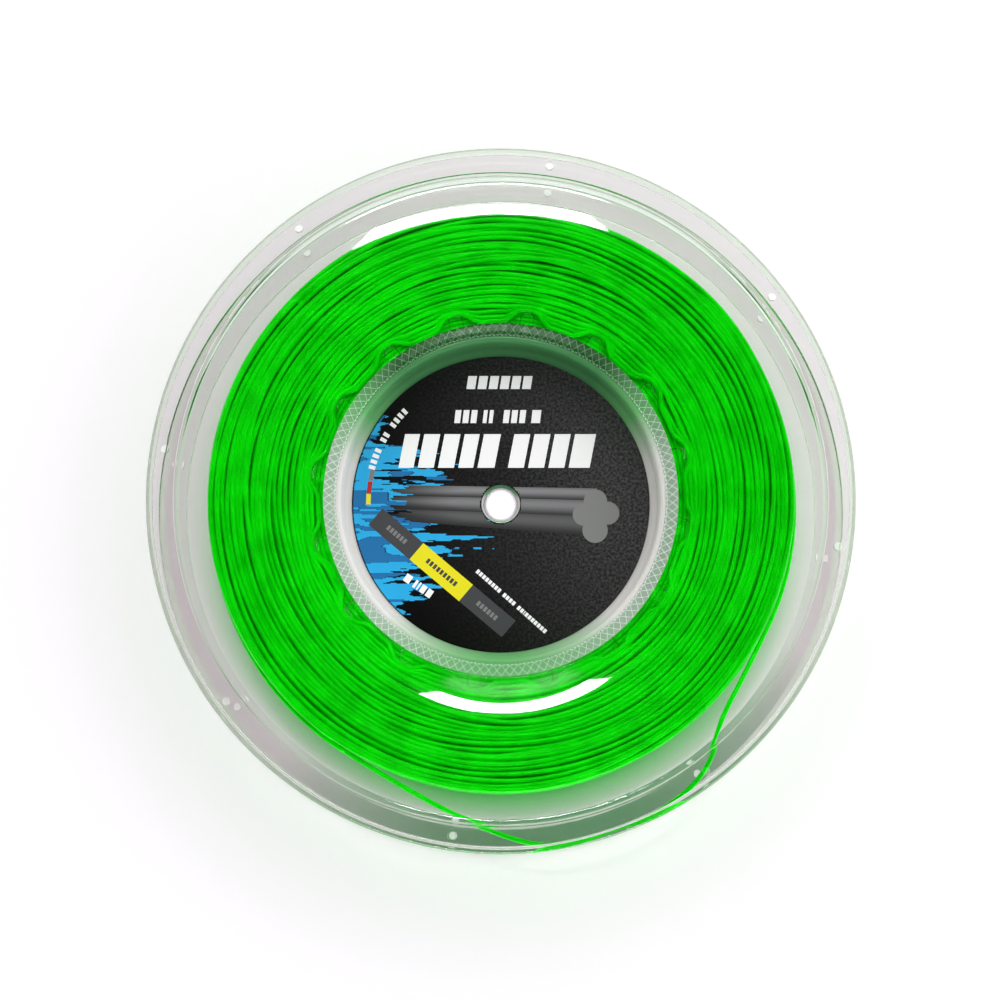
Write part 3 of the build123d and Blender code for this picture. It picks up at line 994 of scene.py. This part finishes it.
def tube_mesh(paths, sides=8, radius=STRING_R):
    """Vertices, faces of round strings swept along paths of points (n, 3) in mm, ends closed."""
    all_v, all_f, base = [], [], 0
    th = np.linspace(0, 2 * np.pi, sides, endpoint=False)
    for p in paths:
        n = len(p)
        tan = np.gradient(p, axis=0)
        tan /= np.linalg.norm(tan, axis=1)[:, None]
        er = p.copy()
        er[:, 2] = 0
        er /= np.linalg.norm(er, axis=1)[:, None]
        er -= tan * (er * tan).sum(1)[:, None]
        er /= np.linalg.norm(er, axis=1)[:, None]
        ez = np.cross(tan, er)
        ring = p[:, None, :] + radius * (np.cos(th)[None, :, None] * er[:, None, :] + np.sin(th)[None, :, None] * ez[:, None, :])
        all_v.append(ring.reshape(-1, 3))
        i = np.arange(n - 1)[:, None] * sides
        k = np.arange(sides)[None, :]
        k2 = (k + 1) % sides
        q = np.stack([i + k, i + k2, i + sides + k2, i + sides + k], -1).reshape(-1, 4) + base
        all_f.extend(map(tuple, q.tolist()))
        all_f.append(tuple(base + np.arange(sides)[::-1]))
        all_f.append(tuple(base + (n - 1) * sides + np.arange(sides)))
        base += n * sides
    return np.concatenate(all_v) * MM, all_f


def tubes(name, paths, material, sides=8):
    v, f = tube_mesh(paths, sides)
    me = bpy.data.meshes.new(name)
    me.vertices.add(len(v))
    me.vertices.foreach_set("co", v.astype(np.float32).ravel())
    loops = np.concatenate([np.asarray(x, dtype=np.int32) for x in f])
    starts = np.cumsum([0] + [len(x) for x in f[:-1]]).astype(np.int32)
    me.loops.add(len(loops))
    me.loops.foreach_set("vertex_index", loops)
    me.polygons.add(len(f))
    me.polygons.foreach_set("loop_start", starts)
    me.update(calc_edges=True)
    me.validate()
    me.polygons.foreach_set("use_smooth", [True] * len(me.polygons))
    me.materials.append(material)
    o = bpy.data.objects.new(name, me)
    bpy.context.scene.collection.objects.link(o)
    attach(o, "root")
    return o


def face_top(r):
    """Height of the package's front face at radius r, clear of the flange."""
    rr = np.clip(r, HUB_R, STEP_FOOT_R)
    return W - (CROWN_Z + WALL + WIND_GAP + CROWN_RADIUS - np.sqrt(CROWN_RADIUS**2 - (rr - CREST_R) ** 2))


wander = field(14, 0.26, (1, 9), (0.10, 1.15), 3)
wander_fine = field(16, 0.07, (4, 16), (1.5, 3.6), 4)
height = field(16, 0.22, (2, 11), (1.4, 3.4), 5)
STEP = math.radians(2.0)


def skin_turns(r_from, r_to, pitch, sink, phase, rear=False, seed=0, rough=1.0):
    """One spiral over an end face of the package, from the hub outwards, as a list of open paths."""
    turns = (r_to - r_from) / pitch
    phi = np.arange(0, turns * 2 * math.pi, STEP)
    r0 = r_from + pitch * phi / (2 * math.pi)
    ang = phi + phase
    grow = np.clip((r0 - HUB_R) / 2.5, 0, 1)
    r = r0 + rough * grow * wander(ang, r0 + seed) + wander_fine(ang, r0 + seed)
    # the first rows climb over the lugs, and the rows outside them settle slowly
    over = (LUG_OUT_R + 0.62 + 0.30 * (r0 - r_from)) - r0
    reach = np.clip(1 - (r0 - r_from) / 11.0, 0, 1) ** 0.8
    r = r + lug_bump(ang) * np.maximum(over, 0) * reach
    r = np.clip(r, HUB_R + STRING_R + 0.05, WIND_OUT_R - STRING_R + 0.35)
    z = face_top(r) - STRING_R - sink + np.clip(height(ang, r0 + seed), -0.35, 0.35) * rough
    z = np.minimum(z, face_top(r) - STRING_R - 0.01)
    if rear:
        z = W - z
    return [np.stack([r * np.cos(ang), r * np.sin(ang), z], 1)]


front_skin = skin_turns(43.9, 71.0, 1.17, 0.42, 0.6)
second_skin = skin_turns(44.5, 70.4, 1.17, 1.42, 2.2, seed=0.0)
rear_skin = skin_turns(43.9, 71.0, 1.17, 0.42, 1.9, rear=True, seed=40.0)
rear_second = skin_turns(44.5, 70.4, 1.19, 1.40, 4.0, rear=True, seed=40.0)

# strings that cross from one row to another on top of the rest
riders = []
gr = np.random.default_rng(21)
for i in range(15):
    r_a = gr.uniform(47, 69.5)
    dr = gr.uniform(1.2, 4.2) * gr.choice([-1, 1])
    r_b = float(np.clip(r_a + dr, 46.5, 70.3))
    span = math.radians(gr.uniform(55, 120))
    a0 = gr.uniform(0, 2 * math.pi)
    t = np.linspace(0, 1, int(span / STEP) + 2)
    ang = a0 + span * t
    rr = r_a + (r_b - r_a) * (3 * t**2 - 2 * t**3)
    r = rr + wander(ang, rr)
    lift = np.sin(np.pi * t) ** 0.5
    z = face_top(r) - STRING_R - 0.02 - 1.0 * (1 - lift)
    riders.append(np.stack([r * np.cos(ang), r * np.sin(ang), z], 1))



def deep_rows(rear):
    """Rows beside the barrel, just under the lugs' ends."""
    rows = []
    for n, r in enumerate((43.9, 45.05, 46.2, 47.3)):
        ang = np.arange(0, 2 * math.pi + 3 * STEP, STEP) + 1.3 * n
        rr = r + 0.04 * wander(ang, r * np.ones_like(ang))
        z = W - LUG_Z - 0.15 - STRING_R - 0.25 * (n % 2) + 0.05 * np.sin(3 * ang + n)
        z = W - z if rear else z
        rows.append(np.stack([rr * np.cos(ang), rr * np.sin(ang), z], 1))
    return rows


front_skin += deep_rows(False)
rear_skin += deep_rows(True)
tubes("winding_front", front_skin + riders, GREEN, 8)
tubes("winding_front_under", second_skin, GREEN, 6)
tubes("winding_rear", rear_skin, GREEN, 8)
tubes("winding_rear_under", rear_second, GREEN, 6)

# the outside of the package: a helix across the width and a few turns that cross it
side_wander = field(14, 0.16, (1, 8), (0.2, 1.4), 8)
side_height = field(12, 0.14, (2, 9), (1.0, 3.0), 9)
z_low, z_high = 3.1, W - 3.1
turns = (z_high - z_low) / 1.2
phi = np.arange(0, turns * 2 * math.pi, STEP)
zz = z_low + 1.2 * phi / (2 * math.pi)
z = zz + side_wander(phi, zz) * np.clip(np.minimum(zz - z_low, z_high - zz) / 2, 0, 1)
r = 70.6 + np.clip(side_height(phi, zz), -0.3, 0.14)
outside = [np.stack([r * np.cos(phi + 1.0), r * np.sin(phi + 1.0), z], 1)]
for i in range(9):
    a0, span = gr.uniform(0, 2 * math.pi), math.radians(gr.uniform(120, 330))
    za = gr.uniform(4.5, 24)
    zb = float(np.clip(za + gr.uniform(2.5, 7) * gr.choice([-1, 1]), 4, 28))
    t = np.linspace(0, 1, int(span / STEP) + 2)
    ang = a0 + span * t
    z = za + (zb - za) * t + side_wander(ang, np.full_like(ang, za))
    r = 70.58 - 0.9 * (1 - np.sin(np.pi * t) ** 0.3)
    outside.append(np.stack([r * np.cos(ang), r * np.sin(ang), z], 1))

# the slack turn comes off the package here and goes back onto it there
ROUTE = [
    (-37.76, -61.13, 24.6),
    (0.0, -85.0, 25.8),
    (26.0, -82.4, 26.2),
    (43.5, -72.8, 26.2),
    (51.3, -63.5, 26.0),
    (52.6, -54.5, 25.6),
    (60.0, -41.0, 25.0),
    (65.66, -29.23, 24.4),
]


def laid(point, turn, span, z_end):
    """The slack turn's own string where it lies on the package, from point round by turn times span."""
    r0, a0 = math.hypot(point[0], point[1]), math.atan2(point[1], point[0])
    t = np.linspace(0, 1, 60)
    ang = a0 + turn * span * t
    r = r0 + (70.45 - r0) * (3 * t**2 - 2 * t**3)
    z = point[2] + (z_end - point[2]) * t
    return np.stack([r * np.cos(ang), r * np.sin(ang), z], 1)


outside.append(laid(ROUTE[0], -1, math.radians(75), 22.0))
outside.append(laid(ROUTE[-1], 1, math.radians(80), 21.4))
tubes("winding_outside", outside, GREEN, 8)

# the body of the package under its outer turns, in a darker green that paints the shade between the turns
core = [
    (HUB_R + 0.25, 7.0),
    (46.9, 7.0),
    (46.9, 6.2),
]
core += [(r, W - float(face_top(r)) + 2.35) for r in np.linspace(47.2, 69.6, 16)]
core = core + [(p[0], W - p[1]) for p in core[::-1]]
verts, faces, _ = turned(core, seg=256)
body = make_object("winding_body", verts, faces, [CORE], sharp=35)
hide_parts("string_winding")

# ---------------------------------------------------------------- the slack turn
curve = bpy.data.curves.new("slack_turn", "CURVE")
curve.dimensions = "3D"
curve.bevel_depth = STRING_R * MM
curve.bevel_resolution = 4
curve.use_fill_caps = True
curve.resolution_u = 24
sp = curve.splines.new("NURBS")
sp.points.add(len(ROUTE) - 1)
for p, c in zip(sp.points, ROUTE):
    p.co = (c[0] * MM, c[1] * MM, c[2] * MM, 1)
sp.order_u = 3
sp.use_endpoint_u = True
curve.materials.append(LOOSE)
slack = bpy.data.objects.new("slack_turn", curve)
bpy.context.scene.collection.objects.link(slack)
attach(slack, "root")
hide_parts("string_tail")

# ---------------------------------------------------------------- floor, light, camera
me = bpy.data.meshes.new("floor")
F = 3.0
me.from_pydata([(-F, -F, 0), (F, -F, 0), (F, F, 0), (-F, F, 0)], [], [(0, 1, 2, 3)])
floor = bpy.data.objects.new("floor", me)
bpy.context.scene.collection.objects.link(floor)
me.materials.append(plain("floor_paper", (0.92, 0.868, 0.92), 0.9, 0.0, **{"Emission Color": (1, 0.955, 1, 1), "Emission Strength": 0.265}))
floor.location.z = -0.00005

world = bpy.data.worlds.new("studio")
bpy.context.scene.world = world
world.use_nodes = True
nt = world.node_tree
nt.nodes.clear()
out = nt.nodes.new("ShaderNodeOutputWorld")
bg = nt.nodes.new("ShaderNodeBackground")
co = nt.nodes.new("ShaderNodeTexCoord")
sep = nt.nodes.new("ShaderNodeSeparateXYZ")
ring = nt.nodes.new("ShaderNodeMapRange")  # dark straight overhead, bright towards the sides
ring.interpolation_type = "SMOOTHSTEP"
ring.inputs["From Min"].default_value = 0.90
ring.inputs["From Max"].default_value = 0.68
ring.inputs["To Min"].default_value = 0.003
ring.inputs["To Max"].default_value = 1.0
side = nt.nodes.new("ShaderNodeVectorMath")  # brighter from the upper right
side.operation = "DOT_PRODUCT"
side.inputs[1].default_value = (0.42, 0.62, 0.0)
shift = nt.nodes.new("ShaderNodeMath")
shift.operation = "ADD"
shift.inputs[1].default_value = 1.0
mul = nt.nodes.new("ShaderNodeMath")
mul.operation = "MULTIPLY"
gain = nt.nodes.new("ShaderNodeMath")
gain.operation = "MULTIPLY"
gain.inputs[1].default_value = 1.6
nt.links.new(co.outputs["Generated"], sep.inputs[0])
nt.links.new(sep.outputs[2], ring.inputs["Value"])
nt.links.new(co.outputs["Generated"], side.inputs[0])
nt.links.new(side.outputs["Value"], shift.inputs[0])
nt.links.new(shift.outputs[0], mul.inputs[0])
nt.links.new(ring.outputs[0], mul.inputs[1])
nt.links.new(mul.outputs[0], gain.inputs[0])
nt.links.new(gain.outputs[0], bg.inputs["Strength"])
nt.links.new(bg.outputs[0], out.inputs["Surface"])


def area(name, loc, target, sx, sy, radiance):
    """A rectangular softbox of the given brightness, as seen from the reel."""
    l = bpy.data.lights.new(name, "AREA")
    l.shape = "RECTANGLE"
    l.size, l.size_y = sx, sy
    l.energy = radiance * math.pi * sx * sy
    o = bpy.data.objects.new(name, l)
    bpy.context.scene.collection.objects.link(o)
    o.location = loc
    o.rotation_euler = (Vector(target) - Vector(loc)).to_track_quat("-Z", "Y").to_euler()
    return o


# ---- camera: above the reel and a little towards its lower edge
D, AL, TH = 0.700, math.radians(6.6), math.radians(4.6)
cam_data = bpy.data.cameras.new("camera")
cam = bpy.data.objects.new("camera", cam_data)
bpy.context.scene.collection.objects.link(cam)
cam.location = (0, -D * math.sin(AL), W * MM + D * math.cos(AL))
cam.rotation_euler = (TH, 0, 0)
cam_data.sensor_width = 36.0
cam_data.sensor_fit = "HORIZONTAL"
S = 1.0125 * D * math.cos(AL - TH) / 0.2447e-3  # image units per unit of slope
cam_data.lens = 36.0 * S / 1000.0
# the front face's centre falls at (500.8, 497.4) of 1000 by 1000
drop = S * math.tan(AL - TH)
cam_data.shift_x = (500 - 500.8) / 1000
cam_data.shift_y = (497.4 - 500 + drop) / 1000
cam_data.clip_start, cam_data.clip_end = 0.01, 20
bpy.context.scene.camera = cam


def mirror_point(r, azimuth_deg, slope_deg, dist):
    """Where a light at dist must stand to be mirrored to the camera by the crown at this place."""
    a = math.radians(azimuth_deg)
    p = Vector((r * math.cos(a) * MM, r * math.sin(a) * MM, W * MM - 0.0006))
    n = Vector((math.cos(a) * math.sin(math.radians(slope_deg)), math.sin(a) * math.sin(math.radians(slope_deg)), math.cos(math.radians(slope_deg))))
    v = (cam.location - p).normalized()
    refl = (2 * n.dot(v) * n - v).normalized()
    return p, p + refl * dist


slope = lambda r: math.degrees(math.asin((r - CREST_R) / CROWN_RADIUS))
p_top, l_top = mirror_point(72.1, 94.5, slope(72.1), 6.0)
p_low, l_low = mirror_point(50.9, 274.0, slope(50.9), 6.0)
print("softbox", l_top, l_low)
box = (l_top + l_low) / 2
area("softbox", (box.x, box.y - 0.06, box.z), (0, 0, 0.03), 0.72, 0.20, 75.0)
# a low strip on the near side lights the wound string's edge across the table
area("low_strip", (0.05, -1.0, 0.05), (0.0, -0.08, 0.016), 1.2, 0.06, 32.0)

# a narrow lamp lights the table seen through the bore
spot = bpy.data.lights.new("bore_lamp", "SPOT")
spot.spot_size = math.radians(1.0)
spot.spot_blend = 0.35
spot.energy = 9.0
spot.shadow_soft_size = 0.0005
lamp = bpy.data.objects.new("bore_lamp", spot)
bpy.context.scene.collection.objects.link(lamp)
mouth = Vector((0, 0, 0.0160))
lamp.location = mouth + (cam.location - mouth).normalized() * 0.45
lamp.rotation_euler = (mouth - lamp.location).to_track_quat("-Z", "Y").to_euler()

bpy.context.scene.view_settings.view_transform = "Standard"
bpy.context.scene.view_settings.look = "None"
bpy.context.scene.view_settings.exposure = 0.0
